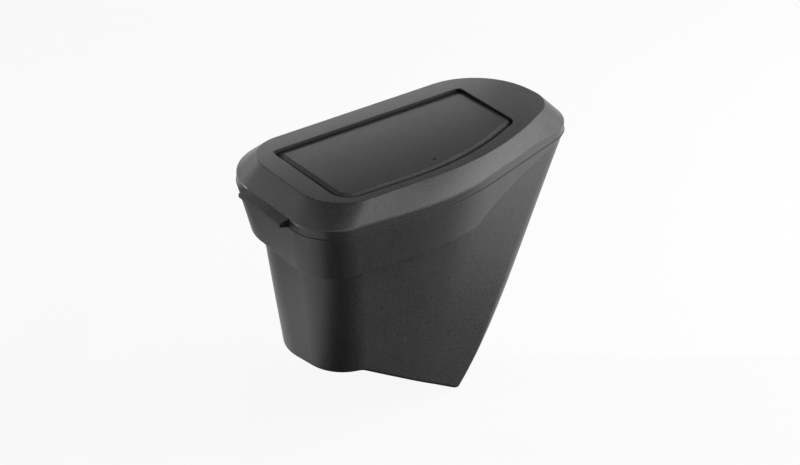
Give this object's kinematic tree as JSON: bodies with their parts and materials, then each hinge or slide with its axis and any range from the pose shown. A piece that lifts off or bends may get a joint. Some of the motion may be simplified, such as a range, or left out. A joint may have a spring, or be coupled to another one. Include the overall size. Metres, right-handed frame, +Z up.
{
  "type": "car litter bin",
  "caption": "Tapered drop-in litter bin with a hanging collar, a raked end, a lift-off lid with a pull tab, and a spring-closed push flap.",
  "frame": {"origin": "on the level of the collar's underside, at the middle of the bin's length", "axes": "+X along the bin from the pull tab to the raked end, +Y from the bowed front to the straight back, +Z up"},
  "size_m": [0.2262, 0.1245, 0.1735],
  "materials": {
    "bin_plastic": "fine matte grain",
    "lid_plastic": "fine matte grain",
    "flap_plastic": "fine matte grain",
    "rod_steel": "drawn",
    "spring_steel": "drawn wire"
  },
  "bodies": {
    "bin": {"bin_body": "bin_plastic"},
    "lid": {"lid_frame": "lid_plastic", "hinge_rod": "rod_steel", "flap_spring": "spring_steel"},
    "flap": {"flap": "flap_plastic"}
  },
  "joints": [
    {"name": "lid_lift", "type": "slide", "parent": "bin", "child": "lid", "axis": [0, 0, 1], "range_m": [0, 0.06]},
    {"name": "flap_swing", "type": "hinge", "parent": "lid", "child": "flap", "pos_m": [0, 0.0317, 0.0357], "axis": [1, 0, 0], "range_deg": [0, 65], "stiffness_Nm_per_rad": 0.027, "springref_deg": -42.97, "deforming": ["flap_spring"]}
  ]
}
